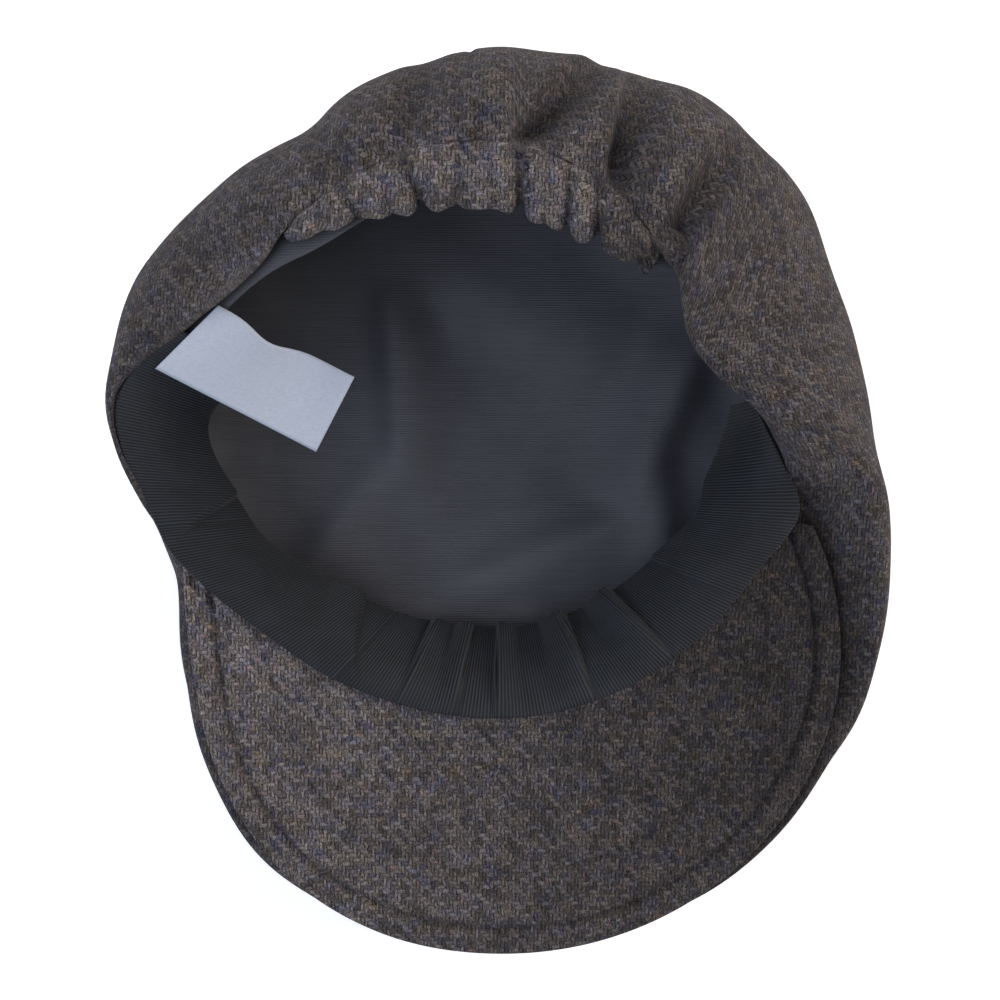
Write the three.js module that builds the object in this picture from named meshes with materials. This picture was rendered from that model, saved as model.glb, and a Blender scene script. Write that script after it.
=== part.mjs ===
// A soft flat cap lying on its crown with the head opening upwards, in millimetres.
// +Z is up, the peak points along -Y, and a bearing is measured round the cap from the
// peak: 0 degrees is the front, 90 the +X side, 180 the back and 270 the -X side.
import * as THREE from "three";

// Cloth thicknesses and the clearance between neighbouring pieces
const TWEED = 2.4;
const LINING = 1.0;
const RIBBON = 1.0;
const LABEL = 1.0;
const PEAK_THICKNESS = 4.4;
const CASING_THICKNESS = 4.0;
const CLEARANCE = 0.5;

// The head opening lies in a tilted plane, because the crown is deep behind and shallow in front
const OPENING_HEIGHT = 54;
const OPENING_PITCH = THREE.MathUtils.degToRad(21.5);
const OPENING_ROLL = THREE.MathUtils.degToRad(4.6);

// A table with named columns, a row for each section round the cap
function table(columns, ...rows) {
  return rows.map((row) => Object.fromEntries(columns.map((name, k) => [name, row[k]])));
}

// Edge of the head opening: its distance from the cap's axis at each bearing
const OPENING = table(
  ["bearing", "reach"],
  [0, 58.5], [15, 58.5], [30, 59.5], [45, 61.5], [60, 64.5], [75, 69.5], [90, 78], [105, 74],
  [120, 70], [135, 70], [150, 70], [165, 71], [180, 75], [195, 77.5], [210, 82.5], [225, 89],
  [240, 95], [255, 107.5], [270, 98.5], [285, 83.5], [300, 72.5], [315, 66.5], [330, 62], [345, 59.5],
);

// Crown sections: the seam's place beside the opening, the pull of the cloth as it leaves the seam,
// how much it puffs up beside the peak, the widest point of the bulge, and where the cloth comes to
// rest on the ground. In front the seam lies under the peak instead. Fullness is how square the cloth
// turns under to the ground.
const CROWN = table(
  ["bearing", "seam_out", "seam_up", "pull_out", "pull_up", "puff",
    "side_reach", "side_height", "foot_reach", "fullness"],
  [0, 0, 0, 5, -1, 0, 129.5, 18, 76, 0.35],
  [15, 0, 0, 5, -1, 0, 129, 19, 76, 0.38],
  [30, 0, 0, 6, -1, 0, 126.5, 21, 75, 0.45],
  [45, 0, 0, 8, -1, 0, 121.5, 26, 74, 0.55],
  [60, 0, 0, 10, -1, 9, 117.5, 33, 73, 0.68],
  [75, 0, 0, 9, -1, 22, 110.5, 41, 71, 0.8],
  [90, 0, 0, 12, -2, 30, 104.5, 46, 70, 0.85],
  [105, 0, 0, -8, 22, 0, 103, 50, 70, 0.85],
  [120, 0, 0, -25, 24, 0, 107, 52, 70, 0.85],
  [135, 1, 1, -24, 20, 0, 116.5, 53, 71, 0.85],
  [150, 8, 4, 10, 9, 0, 121, 53, 72, 0.85],
  [165, 14.5, 6, 13, 5, 0, 120.5, 51, 73, 0.85],
  [180, 15, 6.5, 13, 4, 0, 121.5, 50, 74, 0.85],
  [195, 13.5, 5.5, 12, 4, 0, 118.5, 49, 73, 0.85],
  [210, 7.5, 3.5, 12, 4, 0, 113.5, 48, 72, 0.85],
  [225, 0, 0, 14, 3, 0, 115.5, 46, 71, 0.85],
  [240, 0, 0, 11, 1, 0, 115.5, 44, 70, 0.85],
  [255, 0, 0, 4, -2, 0, 109.5, 38, 69, 0.85],
  [270, 0, 0, 2, -6, 0, 98.5, 30, 66, 0.8],
  [285, 0, 0, 8, -3, 0, 95.5, 27, 66, 0.7],
  [300, 0, 0, 9, -2, 0, 104, 25, 68, 0.58],
  [315, 0, 0, 8, -2, 0, 114.5, 23, 71, 0.5],
  [330, 0, 0, 7, -1, 0, 125, 20, 74, 0.42],
  [345, 0, 0, 6, -1, 0, 129.5, 18, 76, 0.37],
);

// Outer edge of the peak
const PEAK = table(
  ["bearing", "edge_reach", "edge_height"],
  [-90, 86, 45], [-75, 90, 40], [-60, 98, 36], [-45, 110.5, 32], [-30, 121.5, 28], [-15, 127.5, 25],
  [0, 129, 24], [15, 128, 25], [30, 124, 28.5], [45, 117, 34], [60, 107, 41], [75, 93.5, 49.5], [90, 80, 60],
);
const PEAK_FROM = -78;
const PEAK_TO = 85;
const PEAK_DIP = 2;
const PEAK_TUCK = 4;
const PEAK_UNDERSIDE = 0.55 * PEAK_THICKNESS;
const CORNER_BLEND = 13;
const SEAM_MARGIN = 4;

// Sweatband: how far the free edge of the ribbon stands in from, and below, its sewn edge
const SWEATBAND = table(
  ["bearing", "inset", "drop"],
  [-120, 21, 16], [-105, 22, 15], [-90, 23, 14], [-75, 24, 14], [-60, 24, 14], [-45, 24, 14],
  [-30, 24, 14], [-15, 24, 14], [0, 24, 14], [15, 24, 14], [30, 24, 14], [45, 24, 14],
  [60, 24, 14], [75, 24, 14], [90, 24, 14], [105, 9, 24], [120, -5, 26],
);
const SWEATBAND_FROM = -118;
const SWEATBAND_TO = 112;
const SWEATBAND_OVERLAP = 2.5;

// Tucks that take up the ribbon's spare length along its free edge
const TUCKS = table(
  ["bearing", "half_width", "lift"],
  [-64, 7, 1.5], [-33, 6, 2.2], [-13, 5, 1.6], [-3, 4, 1.8], [21, 6, 2.6], [41, 6, 2.8],
);

// Gathers of the elastic casing
const CASING_FROM = 144;
const CASING_TO = 219;
const GATHERS = table(
  ["bearing", "half_width", "lift"],
  [152, 3, 1.2], [158, 3, 1.6], [165, 3.4, 1.8], [172, 3.4, 1.8], [180, 4, 1.7], [187, 3, 1.5],
  [193, 3, 1.7], [199, 3, 1.6], [206, 3.4, 1.3],
);

// Soft folds of the crown that run out from the casing and the deep one beside the bulge
const CROWN_FOLDS = table(
  ["bearing", "lean", "half_width", "depth"],
  [147, -3, 5, 4], [160, -3, 6, 3], [177, -8, 6, 3.5], [192, 0, 5, 1.5], [203, 2, 5, 1.6],
);

// Hanging folds of the lining bag
const LINING_FOLDS = table(
  ["bearing", "half_width", "lift"],
  [228, 9, 3], [248, 8, 3], [268, 8, 2.5], [150, 10, 2.5], [175, 9, 2.5],
);

// Label: sewn edge in the opening's left side, then a tongue towards the middle
const LABEL_BEARING = 242.5;
const LABEL_WIDTH = 22.5;
const LABEL_LENGTH = 43;
const LABEL_SKEW = 7;
const LABEL_HEADING = THREE.MathUtils.degToRad(117.6);
const LABEL_DROP = 9;

const rise = (v) => v * v * (3 - 2 * v);

// Smooth value of every column of a table at a bearing; a table of a whole turn runs on round
function at(rows, bearing) {
  const step = rows[1].bearing - rows[0].bearing;
  const wholeTurn = rows.length * step === 360;
  const last = rows.length - 1;
  let place = (bearing - rows[0].bearing) / step;
  if (!wholeTurn) place = THREE.MathUtils.clamp(place, 0, last);
  const k = Math.floor(place);
  const t = place - k;
  const row = (n) =>
    wholeTurn
      ? rows[THREE.MathUtils.euclideanModulo(n, rows.length)]
      : rows[THREE.MathUtils.clamp(n, 0, last)];
  const [a, b, c, d] = [row(k - 1), row(k), row(k + 1), row(k + 2)];
  const value = {};
  for (const name of Object.keys(rows[0])) {
    const [p, q, r, s] = [a[name], b[name], c[name], d[name]];
    value[name] = q + 0.5 * t * (r - p + t * (2 * p - 5 * q + 4 * r - s + t * (3 * (q - r) + s - p)));
  }
  return value;
}

// Sum of the rounded humps of a fold table at a bearing, where a row's lean shifts it outwards
function humps(rows, bearing, size, out = 0) {
  let sum = 0;
  for (const fold of rows) {
    const away = Math.abs(bearing - fold.bearing - (fold.lean ?? 0) * out) / fold.half_width;
    if (away < 1) sum += fold[size] * 0.5 * (1 + Math.cos(Math.PI * away));
  }
  return sum;
}

// Point at a bearing, a distance from the axis and a height
function place(bearing, reach, height) {
  const turn = THREE.MathUtils.degToRad(bearing);
  return new THREE.Vector3(reach * Math.sin(turn), -reach * Math.cos(turn), height);
}

function openingPoint(bearing) {
  const point = place(bearing, at(OPENING, bearing).reach, 0);
  point.z = OPENING_HEIGHT + point.y * Math.tan(OPENING_PITCH) + point.x * Math.tan(OPENING_ROLL);
  return point;
}

const reachOf = (point) => Math.hypot(point.x, point.y);

// 1 in front, along the peak and a little past its corners, fading to 0 at the sides
function inFront(bearing, margin) {
  const signed = THREE.MathUtils.euclideanModulo(bearing + 180, 360) - 180;
  const past = Math.max(PEAK_FROM - margin - signed, signed - PEAK_TO - margin, 0);
  return 1 - rise(Math.min(past / CORNER_BLEND, 1));
}

// Middle of the peak's thickness from the opening (share 0) to its outer edge (share 1)
function peakPoint(bearing, share) {
  const signed = THREE.MathUtils.euclideanModulo(bearing + 180, 360) - 180;
  const rear = openingPoint(bearing);
  const edge = at(PEAK, signed);
  const reach = THREE.MathUtils.lerp(reachOf(rear), edge.edge_reach, share);
  const height = THREE.MathUtils.lerp(rear.z, edge.edge_height, share);
  return place(bearing, reach, height - PEAK_DIP * 4 * share * (1 - share));
}

// Sewn edge of the crown: under the peak's edge in front, at the opening or the casing elsewhere
function seamPoint(bearing) {
  const { seam_out, seam_up } = at(CROWN, bearing);
  const opening = openingPoint(bearing);
  const behind = new THREE.Vector2(reachOf(opening) + seam_out, opening.z + seam_up);
  const edge = reachOf(peakPoint(bearing, 1));
  const width = Math.max(edge - reachOf(opening), PEAK_TUCK);
  const tucked = peakPoint(bearing, 1 - PEAK_TUCK / width);
  const under = new THREE.Vector2(reachOf(tucked), tucked.z - PEAK_UNDERSIDE - CLEARANCE);
  return behind.lerp(under, inFront(bearing, SEAM_MARGIN));
}

// Evenly spaced values from a to b, both included
function span(a, b, steps) {
  return Array.from({ length: steps + 1 }, (_, k) => a + ((b - a) * k) / steps);
}

// Bearings once round the cap
function ringOf(count) {
  return Array.from({ length: count }, (_, k) => (360 * k) / count);
}

// Unit normals of a grid of points, rows by columns, on the side of rows x columns
function normalsOf(grid, ring) {
  return grid.map((row, j) =>
    row.map((_, i) => {
      const above = grid[Math.max(j - 1, 0)];
      const below = grid[Math.min(j + 1, grid.length - 1)];
      const n = row.length;
      const before = ring ? (i + n - 1) % n : Math.max(i - 1, 0);
      const after = ring ? (i + 1) % n : Math.min(i + 1, n - 1);
      const down = new THREE.Vector3().subVectors(below[i], above[i]);
      const along = new THREE.Vector3().subVectors(row[after], row[before]);
      return down.cross(along).normalize();
    }),
  );
}

// Grid moved along its normals by a distance, or by a function of row and column
function offset(grid, distance, ring = false) {
  const normals = normalsOf(grid, ring);
  const size = typeof distance === "function" ? distance : () => distance;
  return grid.map((row, j) =>
    row.map((point, i) => point.clone().addScaledVector(normals[j][i], size(j, i))),
  );
}

// Closed wall between two matching grids. A ring runs on round; a pole closes the last row on a point.
function wall(face, back, { ring = false, poles = null } = {}) {
  const rows = face.length;
  const columns = face[0].length;
  const vertices = [...face.flat(), ...back.flat()];
  const id = (side, j, i) => side * rows * columns + j * columns + (i % columns);
  const triangles = [];
  const quad = (a, b, c, d) => triangles.push([a, b, c], [a, c, d]);
  const steps = ring ? columns : columns - 1;
  for (let i = 0; i < steps; i++) {
    for (let j = 0; j < rows - 1; j++) {
      quad(id(0, j, i), id(0, j + 1, i), id(0, j + 1, i + 1), id(0, j, i + 1));
      quad(id(1, j, i), id(1, j, i + 1), id(1, j + 1, i + 1), id(1, j + 1, i));
    }
    quad(id(0, 0, i), id(0, 0, i + 1), id(1, 0, i + 1), id(1, 0, i));
    if (poles) {
      const first = vertices.length - (i ? 2 : 0);
      if (!i) vertices.push(...poles);
      triangles.push([id(0, rows - 1, i), first, id(0, rows - 1, i + 1)]);
      triangles.push([id(1, rows - 1, i), id(1, rows - 1, i + 1), first + 1]);
    } else {
      quad(id(0, rows - 1, i), id(1, rows - 1, i), id(1, rows - 1, i + 1), id(0, rows - 1, i + 1));
    }
  }
  if (!ring) {
    for (let j = 0; j < rows - 1; j++) {
      quad(id(0, j, 0), id(1, j, 0), id(1, j + 1, 0), id(0, j + 1, 0));
      const end = columns - 1;
      quad(id(0, j, end), id(0, j + 1, end), id(1, j + 1, end), id(1, j, end));
    }
  }
  const positions = new Float32Array(vertices.flatMap((v) => v.toArray()));
  const geometry = new THREE.BufferGeometry();
  geometry.setAttribute("position", new THREE.BufferAttribute(positions, 3));
  const volume = triangles.reduce(
    (sum, [a, b, c]) => sum + vertices[a].dot(new THREE.Vector3().crossVectors(vertices[b], vertices[c])),
    0,
  );
  geometry.setIndex(triangles.flatMap(([a, b, c]) => (volume < 0 ? [a, c, b] : [a, b, c])));
  geometry.computeVertexNormals();
  return geometry;
}

// Crown

const CROWN_COLUMNS = 72;
const ROLL_STEPS = 8;
const UNDER_STEPS = 7;
const REST_RINGS = [0.5];
const ROLL_DEPTH = 0.62;
const LEAST_ROLL = 3;
const UNDER_RUN = 0.7;
const FOLD_IN = 0.6;
const FOLD_DOWN = 0.8;
const FOLD_EASE = 0.7;

// Section of the crown's outside at a bearing: over the bulge, under it, and along the ground
function crownSection(bearing) {
  const s = at(CROWN, bearing);
  const edge = seamPoint(bearing);
  const side = new THREE.Vector2(s.side_reach, s.side_height);
  const foot = new THREE.Vector2(s.foot_reach, 0);
  const roll = Math.max(ROLL_DEPTH * (edge.y + s.pull_up - side.y), LEAST_ROLL);
  const over = new THREE.CubicBezierCurve(
    edge,
    new THREE.Vector2(edge.x + s.pull_out, edge.y + s.pull_up),
    new THREE.Vector2(side.x, side.y + roll + s.puff),
    side,
  );
  const under = new THREE.CubicBezierCurve(
    side,
    new THREE.Vector2(side.x, side.y * (1 - s.fullness)),
    new THREE.Vector2(foot.x + UNDER_RUN * s.fullness * (side.x - foot.x), 0),
    foot,
  );
  const points = [...over.getPoints(ROLL_STEPS), ...under.getPoints(UNDER_STEPS).slice(1)];
  points.forEach((point, k) => {
    const out = Math.min(k / ROLL_STEPS, 1);
    const fade = k < ROLL_STEPS ? Math.sin(Math.PI * out ** FOLD_EASE) : 0;
    const depth = fade * humps(CROWN_FOLDS, bearing, "depth", out);
    point.x -= FOLD_IN * depth;
    point.y -= FOLD_DOWN * depth;
  });
  for (const share of REST_RINGS) points.push(new THREE.Vector2(foot.x * share, 0));
  return points.map((point) => place(bearing, point.x, point.y));
}

// Rows from a list of sections, one section a column
const gridOf = (sections) => sections[0].map((_, j) => sections.map((section) => section[j]));

function crownGeometry() {
  const outside = gridOf(ringOf(CROWN_COLUMNS).map(crownSection));
  const inside = offset(outside, -TWEED, true);
  const poles = [new THREE.Vector3(0, 0, 0), new THREE.Vector3(0, 0, TWEED)];
  return wall(outside, inside, { ring: true, poles });
}

// Peak

const PEAK_COLUMNS = 34;
const PEAK_STATIONS = table(
  ["share", "fullness"],
  [0, 0.6], [0.04, 1], [0.3, 1], [0.6, 1], [0.88, 1], [0.96, 0.85], [1, 0.35],
);

function peakGeometry() {
  const bearings = span(PEAK_FROM, PEAK_TO, PEAK_COLUMNS);
  const middle = gridOf(bearings.map((b) => PEAK_STATIONS.map(({ share }) => peakPoint(b, share))));
  const half = (j) => (PEAK_STATIONS[j].fullness * PEAK_THICKNESS) / 2;
  return wall(offset(middle, half), offset(middle, (j) => -half(j)));
}

// Elastic casing at the back of the opening

const CASING_COLUMNS = 48;
const CASING_GAP = 1.2;
const CASING_STATIONS = table(
  ["share", "fullness", "gather"],
  [0, 0.35, 0.9], [0.06, 0.8, 1], [0.2, 1, 1], [0.5, 1, 1], [0.8, 1, 0.8], [0.94, 0.8, 0.2], [1, 0.5, 0],
);

function casingSection(bearing) {
  const opening = openingPoint(bearing);
  const seam = seamPoint(bearing);
  const from = reachOf(opening);
  const to = seam.x - CASING_GAP;
  return CASING_STATIONS.map(({ share, gather }) => {
    const height = THREE.MathUtils.lerp(opening.z, seam.y - TWEED / 2, share);
    const lift = gather * humps(GATHERS, bearing, "lift");
    return place(bearing, THREE.MathUtils.lerp(from, to, share), height + lift);
  });
}

function casingGeometry() {
  const middle = gridOf(span(CASING_FROM, CASING_TO, CASING_COLUMNS).map(casingSection));
  const half = (j) => (CASING_STATIONS[j].fullness * CASING_THICKNESS) / 2;
  return wall(offset(middle, half), offset(middle, (j) => -half(j)));
}

// Sweatband

const SWEATBAND_COLUMNS = 92;
const SWEATBAND_STEPS = 4;
const SIDE_INSET = 3.4;
const SIDE_DROP = 1.6;
const RIBBON_BOW = 1.6;

function sweatbandSection(bearing) {
  const opening = openingPoint(bearing);
  const peak = inFront(bearing, 0);
  const { inset, drop } = at(SWEATBAND, bearing);
  const start = reachOf(opening) + THREE.MathUtils.lerp(-SIDE_INSET, SWEATBAND_OVERLAP, peak);
  const overPeak = (PEAK_THICKNESS + RIBBON) / 2 + CLEARANCE;
  const top = opening.z + THREE.MathUtils.lerp(-SIDE_DROP, overPeak, peak);
  return span(0, 1, SWEATBAND_STEPS).map((share) => {
    const lift = share * humps(TUCKS, bearing, "lift");
    return place(bearing, start - inset * share, top - drop * share ** RIBBON_BOW + lift);
  });
}

function sweatbandGeometry() {
  const middle = gridOf(span(SWEATBAND_FROM, SWEATBAND_TO, SWEATBAND_COLUMNS).map(sweatbandSection));
  return wall(offset(middle, RIBBON / 2), offset(middle, -RIBBON / 2));
}

// Lining

const LINING_COLUMNS = 52;
const LINING_FALL = 5;
const LINING_INSET = 4;
const LINING_INSET_AT_ROLL = 1;
const ROLL_PULL = 8;
const LINING_SIDE = 0.8;
const LINING_LEAST_FALL = 8;
const LINING_FOOT_INSET = 2;
const LINING_FRONT_FOOT = 12;
const LINING_FOLD_IN = 0.8;
const LINING_FOLD_UP = 0.6;
const LINING_ROLL_STEPS = 5;
const LINING_UNDER_STEPS = 5;
const LINING_RINGS = [0.66, 0.33];
const LINING_STANDOFF = 4;
const TOP_PULL = 0.35;
const SIDE_PULL = 0.5;
const TURN_PULL = 0.35;
const FOOT_PULL = 0.45;
const LINING_FLOOR = TWEED + CLEARANCE + LINING;

// Section of the bag's inside: down from the opening, out towards the crown's bulge, along its top
function liningSection(bearing) {
  const opening = openingPoint(bearing);
  const crown = at(CROWN, bearing);
  const peak = inFront(bearing, 0);
  const rollsIn = rise(THREE.MathUtils.clamp(-crown.pull_out / ROLL_PULL, 0, 1));
  const inset = THREE.MathUtils.lerp(LINING_INSET, LINING_INSET_AT_ROLL, rollsIn);
  const start = new THREE.Vector2(
    reachOf(opening) - THREE.MathUtils.lerp(inset, LINING_INSET, peak),
    opening.z - LINING_FALL,
  );
  const roomy = crown.side_reach - TWEED - LINING_STANDOFF;
  const side = new THREE.Vector2(
    THREE.MathUtils.lerp(roomy, start.x + 1, peak),
    Math.min(crown.side_height * LINING_SIDE, start.y - LINING_LEAST_FALL),
  );
  const frontFoot = Math.min(start.x, crown.foot_reach) - LINING_FRONT_FOOT;
  const foot = new THREE.Vector2(
    THREE.MathUtils.lerp(crown.foot_reach - LINING_FOOT_INSET, frontFoot, peak),
    LINING_FLOOR,
  );
  const down = new THREE.CubicBezierCurve(
    start,
    new THREE.Vector2(THREE.MathUtils.lerp(start.x, side.x, TOP_PULL), start.y - 1),
    new THREE.Vector2(side.x, THREE.MathUtils.lerp(side.y, start.y, SIDE_PULL)),
    side,
  );
  const under = new THREE.CubicBezierCurve(
    side,
    new THREE.Vector2(side.x, THREE.MathUtils.lerp(foot.y, side.y, TURN_PULL)),
    new THREE.Vector2(THREE.MathUtils.lerp(foot.x, side.x, FOOT_PULL), foot.y),
    foot,
  );
  const points = [...down.getPoints(LINING_ROLL_STEPS), ...under.getPoints(LINING_UNDER_STEPS).slice(1)];
  for (const share of LINING_RINGS) points.push(new THREE.Vector2(foot.x * share, foot.y));
  const fold = humps(LINING_FOLDS, bearing, "lift");
  const last = points.length - 1;
  return points.map((point, k) => {
    const sway = Math.sin((Math.PI * k) / last);
    return place(bearing, point.x - LINING_FOLD_IN * fold * sway, point.y + LINING_FOLD_UP * fold * sway);
  });
}

function liningGeometry() {
  const inside = gridOf(ringOf(LINING_COLUMNS).map(liningSection));
  const outside = offset(inside, LINING, true);
  const poles = [new THREE.Vector3(0, 0, LINING_FLOOR), new THREE.Vector3(0, 0, LINING_FLOOR - LINING)];
  return wall(inside, outside, { ring: true, poles });
}

// Care label

const LABEL_STEPS = 8;
const LABEL_ACROSS = 3;
const LABEL_INSET = 4;
const LABEL_RISE = 1.25;

function labelGeometry() {
  const root = openingPoint(LABEL_BEARING);
  root.multiply(new THREE.Vector3(1, 1, 0)).setLength(at(OPENING, LABEL_BEARING).reach - LABEL_INSET);
  root.z = openingPoint(LABEL_BEARING).z + LABEL_RISE;
  const run = new THREE.Vector3(Math.sin(LABEL_HEADING), Math.cos(LABEL_HEADING), 0);
  const across = new THREE.Vector3(-run.y, run.x, 0);
  const middle = span(0, 1, LABEL_STEPS).map((share) =>
    span(-0.5, 0.5, LABEL_ACROSS).map((side) =>
      root
        .clone()
        .addScaledVector(run, LABEL_LENGTH * share + LABEL_SKEW * side * (1 - share))
        .addScaledVector(across, LABEL_WIDTH * side)
        .add(new THREE.Vector3(0, 0, -LABEL_DROP * rise(share))),
    ),
  );
  return wall(offset(middle, LABEL / 2), offset(middle, -LABEL / 2));
}

// Assembly

const cloth = (color, roughness) => new THREE.MeshStandardMaterial({ color, roughness, metalness: 0 });
const tweed = cloth(0x4b4641, 0.95);
const grosgrain = cloth(0x1c1e21, 0.7);
const satin = cloth(0x3a3d44, 0.55);
const whiteSatin = cloth(0xd8dbe2, 0.6);

const pieces = new THREE.Group();
function add(name, geometry, material) {
  const mesh = new THREE.Mesh(geometry, material);
  mesh.name = name;
  pieces.add(mesh);
}
add("crown", crownGeometry(), tweed);
add("back_casing", casingGeometry(), tweed.clone());
add("peak", peakGeometry(), tweed.clone());
add("sweatband", sweatbandGeometry(), grosgrain);
add("lining", liningGeometry(), satin);
add("care_label", labelGeometry(), whiteSatin);

// The origin is on the ground under the middle of the cap's footprint
const middle = new THREE.Box3().setFromObject(pieces).getCenter(new THREE.Vector3());
pieces.position.set(-middle.x, -middle.y, 0);

const cap = new THREE.Group();
cap.add(pieces);

export default cap;
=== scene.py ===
import math

import bmesh
import bpy
import numpy as np
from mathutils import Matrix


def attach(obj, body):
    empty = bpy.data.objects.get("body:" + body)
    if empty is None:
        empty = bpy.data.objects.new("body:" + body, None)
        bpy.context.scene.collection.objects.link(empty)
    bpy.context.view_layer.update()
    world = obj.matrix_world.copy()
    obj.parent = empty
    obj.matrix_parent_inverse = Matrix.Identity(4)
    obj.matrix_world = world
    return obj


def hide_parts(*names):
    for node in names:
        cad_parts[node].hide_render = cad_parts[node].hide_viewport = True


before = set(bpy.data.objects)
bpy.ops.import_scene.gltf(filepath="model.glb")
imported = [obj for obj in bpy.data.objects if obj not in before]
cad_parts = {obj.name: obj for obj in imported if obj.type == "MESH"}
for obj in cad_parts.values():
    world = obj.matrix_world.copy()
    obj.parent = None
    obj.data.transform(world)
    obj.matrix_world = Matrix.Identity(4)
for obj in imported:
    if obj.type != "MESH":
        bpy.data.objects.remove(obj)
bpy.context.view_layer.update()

# Head opening
# The edge that every piece is sewn to, an uneven oval that the soft cloth has pulled out of round.
# It tilts, because the crown is deep behind and shallow in front. Sizes are in millimetres, and a
# bearing runs round the cap from the peak: 0 front, 90 the +X side, 180 back, 270 the -X side.

MM = 0.001
AXIS = np.array([-0.2415, 4.006, 0.0])
OPENING_HEIGHT = 54
OPENING_PITCH = math.radians(21.5)
OPENING_ROLL = math.radians(4.6)
# bearing, reach from the axis
OPENING = [
    (0, 58.5), (15, 58.5), (30, 59.5), (45, 61.5), (60, 64.5), (75, 69.5), (90, 78), (105, 74),
    (120, 70), (135, 70), (150, 70), (165, 71), (180, 75), (195, 77.5), (210, 82.5), (225, 89),
    (240, 95), (255, 107.5), (270, 98.5), (285, 83.5), (300, 72.5), (315, 66.5), (330, 62), (345, 59.5),
]


def read(rows, bearing):
    """Smooth values of a table's columns; the rows are evenly spaced and a whole turn runs on round."""
    rows = np.array(rows, float)
    step = rows[1, 0] - rows[0, 0]
    whole_turn = len(rows) * step == 360
    where = (np.asarray(bearing, float) - rows[0, 0]) / step
    if not whole_turn:
        where = np.clip(where, 0, len(rows) - 1)
    k = np.floor(where).astype(int)
    t = (where - k)[..., None]
    a, b, c, d = (
        rows[n % len(rows)] if whole_turn else rows[np.clip(n, 0, len(rows) - 1)]
        for n in (k - 1, k, k + 1, k + 2)
    )
    value = b + 0.5 * t * (c - a + t * (2 * a - 5 * b + 4 * c - d + t * (3 * (b - c) + d - a)))
    return np.moveaxis(value[..., 1:], -1, 0)


def place(bearing, reach, height):
    """Points at a bearing, a distance from the axis and a height."""
    turn = np.radians(bearing)
    x, y, z = np.broadcast_arrays(reach * np.sin(turn), -reach * np.cos(turn), height)
    return np.stack([x, y, z], axis=-1) + AXIS


def opening(bearing):
    """Reach and height of the opening's edge."""
    reach = read(OPENING, bearing)[0]
    x, y = reach * np.sin(np.radians(bearing)), -reach * np.cos(np.radians(bearing))
    return reach, OPENING_HEIGHT + y * math.tan(OPENING_PITCH) + x * math.tan(OPENING_ROLL)


# Peak line
# The stiffened peak is a crescent sewn to the front of the opening, and its outer edge carries the
# front of the crown. Both pieces are laid out from this line.

PEAK_FROM, PEAK_TO = -78, 85
PEAK_THICKNESS = 4.4
PEAK_UNDERSIDE = 0.55 * PEAK_THICKNESS
PEAK_DIP = 2
PEAK_TUCK = 4
CORNER_BLEND = 13
SEAM_MARGIN = 4
CLEARANCE = 0.5
# bearing, edge reach, edge height
PEAK_EDGE = [
    (-90, 86, 45), (-75, 90, 40), (-60, 98, 36), (-45, 110.5, 32), (-30, 121.5, 28), (-15, 127.5, 25),
    (0, 129, 24), (15, 128, 25), (30, 124, 28.5), (45, 117, 34), (60, 107, 41), (75, 93.5, 49.5),
    (90, 80, 60),
]


def rise(v):
    v = np.clip(v, 0, 1)
    return v * v * (3 - 2 * v)


def signed(bearing):
    return (np.asarray(bearing, float) + 180) % 360 - 180


def in_front(bearing, margin):
    """1 along the peak and a little past its corners, fading to 0 at the sides."""
    turn = signed(bearing)
    past = np.maximum(np.maximum(PEAK_FROM - margin - turn, turn - PEAK_TO - margin), 0)
    return 1 - rise(past / CORNER_BLEND)


def peak_point(bearing, share):
    """Reach and height of the peak's middle, from the opening (share 0) to its edge (share 1)."""
    rear_reach, rear_height = opening(bearing)
    edge_reach, edge_height = read(PEAK_EDGE, signed(bearing))
    reach = rear_reach + (edge_reach - rear_reach) * share
    height = rear_height + (edge_height - rear_height) * share
    return reach, height - PEAK_DIP * 4 * share * (1 - share)


# Crown
# One soft shell of wool tweed, 2.2 mm thick, that bulges round the opening and lies flat on the ground.
# It is pulled in behind by the elastic casing, which throws folds out over the bulge, and a seam
# runs down its centre back.

CROWN_COLUMNS = 440
OVER_STEPS = 56
UNDER_STEPS = 26
FOOT_ROWS = (0.7, 0.4, 0.0)
# Columns stand closer together where the gathers are
FINE_COLUMNS = 2881
CROWDED = 2.2
CROWDED_AT, CROWDED_HALF, CROWDED_FADES = 181, 38, 8
TWEED = 2.2
# Shares of the way out over the side that the rim's roll and the gathers take up
RIM_SWELL, RIM_ROLL = 0.5, 0.07
GATHER_SINK, GATHER_RUN = 0.4, 0.16
FOLD_SHARPNESS = 1.2
FLAT_FROM, FLAT_OVER = 0.6, 0.3
ROLL_DEPTH = 0.62
LEAST_ROLL = 3
UNDER_RUN = 0.7
BACK_SEAM = 183.8
SEAM_DEPTH, SEAM_HALF_WIDTH, SEAM_FADES = 1.5, 0.45, 0.7
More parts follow.
